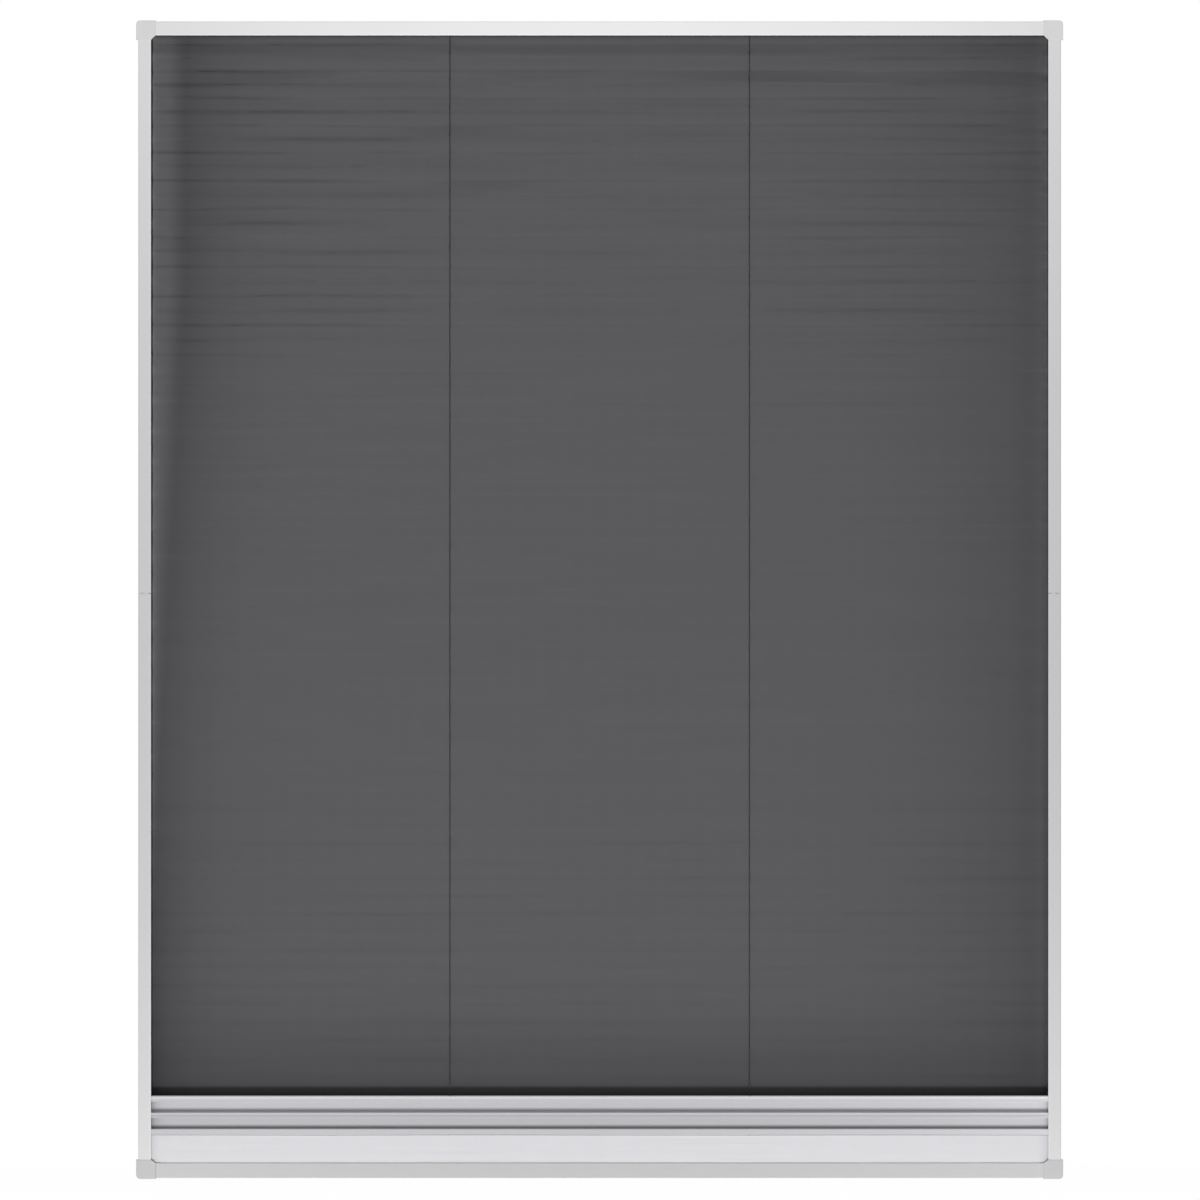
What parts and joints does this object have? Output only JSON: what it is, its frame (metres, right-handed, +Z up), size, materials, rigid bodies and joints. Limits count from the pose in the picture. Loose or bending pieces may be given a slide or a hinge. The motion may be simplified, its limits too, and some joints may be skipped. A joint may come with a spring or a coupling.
{
  "type": "pleated window insect screen",
  "caption": "White framed window screen: a dark pleated insect mesh above a grooved pull bar that slides up and down, with a folded white pleated shade below it.",
  "frame": {"origin": "middle of the frame's foot: centred left to right and front to back, level with the lower faces of the bottom corner pieces", "axes": "+Z up the frame, +X to the right as seen from the front, and the front faces -Y"},
  "size_m": [0.8, 0.0228, 1],
  "materials": {
    "white_aluminium": "white powder coat on extruded aluminium, satin",
    "plain_aluminium": "mill finish, hidden in the rails",
    "corner_plastic": "moulded light grey-white plastic, fine satin",
    "strip_plastic": "extruded white plastic",
    "dark_mesh": "anthracite pleated insect mesh, fine open weave",
    "white_shade": "white pleated shade cloth, folded",
    "dark_cord": "thin dark braided cord"
  },
  "bodies": {
    "frame": {"top_rail": "white_aluminium", "bottom_rail": "white_aluminium", "left_rail_lower": "white_aluminium", "left_rail_upper": "white_aluminium", "right_rail_lower": "white_aluminium", "right_rail_upper": "white_aluminium", "left_rail_joiner": "plain_aluminium", "right_rail_joiner": "plain_aluminium", "corner_bottom_left": "corner_plastic", "corner_bottom_right": "corner_plastic", "corner_top_left": "corner_plastic", "corner_top_right": "corner_plastic", "mesh_holder_strip": "strip_plastic", "shade_holder_strip": "strip_plastic", "insect_mesh": "dark_mesh", "shade_fabric": "white_shade", "cord_left": "dark_cord", "cord_right": "dark_cord", "cord_plug_bottom_left": "strip_plastic", "cord_plug_bottom_right": "strip_plastic", "cord_plug_top_left": "strip_plastic", "cord_plug_top_right": "strip_plastic"},
    "pull_bar": {"pull_bar": "white_aluminium", "bar_end_cap_left": "corner_plastic", "bar_end_cap_right": "corner_plastic", "mesh_clip_strip": "strip_plastic", "shade_clip_strip": "strip_plastic", "eyelet_upper_left": "strip_plastic", "eyelet_upper_right": "strip_plastic", "eyelet_lower_left": "strip_plastic", "eyelet_lower_right": "strip_plastic"}
  },
  "joints": [
    {"name": "pull_bar_slide", "type": "slide", "parent": "frame", "child": "pull_bar", "axis": [0, 0, 1], "range_m": [0, 0.89], "deforming": ["insect_mesh", "shade_fabric"]}
  ]
}
